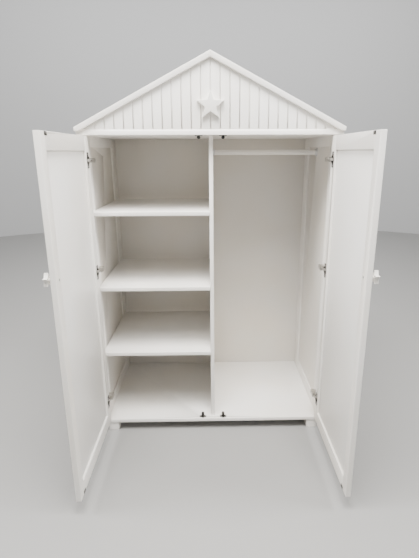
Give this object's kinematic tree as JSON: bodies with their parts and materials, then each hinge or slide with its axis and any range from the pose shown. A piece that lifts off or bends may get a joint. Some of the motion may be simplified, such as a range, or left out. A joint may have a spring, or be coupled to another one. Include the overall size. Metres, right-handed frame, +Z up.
{
  "type": "double-door wardrobe",
  "caption": "Child's wardrobe with two framed doors on concealed hinges, a shelved bay beside a hanging bay with a rail, block feet and a V-grooved house gable with a star.",
  "frame": {"origin": "on the floor, at the middle of the bounding box with both doors standing open: X = 0 is the middle of the cabinet, and Y = 0 is half way between the open doors' free edges and the cabinet's back; the cabinet's front plane is at Y = -0.03875", "axes": "+Z up, the front faces -Y, +X to the right of someone looking at the front"},
  "size_m": [1.132, 1.1826, 1.7569],
  "materials": {
    "frame_paint": "satin white paint on solid wood",
    "panel_paint": "satin white paint on board",
    "white_plastic": "moulded, satin",
    "hinge_nickel": "nickel-plated pressed steel",
    "screw_steel": "zinc-plated steel",
    "catch_steel": "dark plated steel",
    "magnet": "dark, matt",
    "beech": "bare beech"
  },
  "bodies": {
    "cabinet": {"left_front_stile": "frame_paint", "left_rear_stile": "frame_paint", "left_top_rail": "frame_paint", "left_bottom_rail": "frame_paint", "left_side_panel": "panel_paint", "right_front_stile": "frame_paint", "right_rear_stile": "frame_paint", "right_top_rail": "frame_paint", "right_bottom_rail": "frame_paint", "right_side_panel": "panel_paint", "bottom_panel": "frame_paint", "top_panel": "frame_paint", "back_panel": "panel_paint", "centre_divider": "frame_paint", "bottom_shelf": "frame_paint", "middle_shelf": "frame_paint", "top_shelf": "frame_paint", "shelf_supports": "screw_steel", "hanging_rail": "frame_paint", "rail_sockets": "white_plastic", "feet": "frame_paint", "foot_dowels": "beech", "carcass_screws": "screw_steel", "gable_board": "panel_paint", "left_roof_strip": "frame_paint", "right_roof_strip": "frame_paint", "gable_star": "frame_paint", "gable_batten": "frame_paint", "gable_screws": "screw_steel", "catch_housings": "catch_steel", "catch_magnets": "magnet", "small_screws": "screw_steel", "hinge_plates": "hinge_nickel", "hinge_arms": "hinge_nickel", "hinge_arm_pins": "hinge_nickel", "hinge_plate_screws": "screw_steel"},
    "left_hinge_links": {"left_hinge_links": "hinge_nickel"},
    "right_hinge_links": {"right_hinge_links": "hinge_nickel"},
    "left_door": {"left_door_hinge_stile": "frame_paint", "left_door_free_stile": "frame_paint", "left_door_top_rail": "frame_paint", "left_door_bottom_rail": "frame_paint", "left_door_panel": "panel_paint", "left_hinge_cups": "hinge_nickel", "left_cup_pins": "hinge_nickel", "left_strike_plates": "catch_steel", "left_door_screws": "screw_steel", "left_knob_neck": "frame_paint", "left_star_knob": "frame_paint"},
    "right_door": {"right_door_hinge_stile": "frame_paint", "right_door_free_stile": "frame_paint", "right_door_top_rail": "frame_paint", "right_door_bottom_rail": "frame_paint", "right_door_panel": "panel_paint", "right_hinge_cups": "hinge_nickel", "right_cup_pins": "hinge_nickel", "right_strike_plates": "catch_steel", "right_door_screws": "screw_steel", "right_knob_neck": "frame_paint", "right_star_knob": "frame_paint"}
  },
  "joints": [
    {"name": "left_hinge_link_turn", "type": "hinge", "parent": "cabinet", "child": "left_hinge_links", "pos_m": [-0.509, -0.03375, 0.746], "axis": [0, 0, -1], "range_deg": [-1.76, 31.51]},
    {"name": "left_door_swing", "type": "hinge", "parent": "left_hinge_links", "child": "left_door", "pos_m": [-0.523, -0.05875, 0.746], "axis": [0, 0, -1], "range_deg": [-121.5, 6.75]},
    {"name": "right_hinge_link_turn", "type": "hinge", "parent": "cabinet", "child": "right_hinge_links", "pos_m": [0.509, -0.03375, 0.746], "axis": [0, 0, 1], "range_deg": [-1.76, 31.51]},
    {"name": "right_door_swing", "type": "hinge", "parent": "right_hinge_links", "child": "right_door", "pos_m": [0.523, -0.05875, 0.746], "axis": [0, 0, 1], "range_deg": [-121.5, 6.75]}
  ],
  "couplings": [
    {"joint": "left_hinge_link_turn", "follows": "left_door_swing", "ratio": -0.25926},
    {"joint": "right_hinge_link_turn", "follows": "right_door_swing", "ratio": -0.25926}
  ]
}
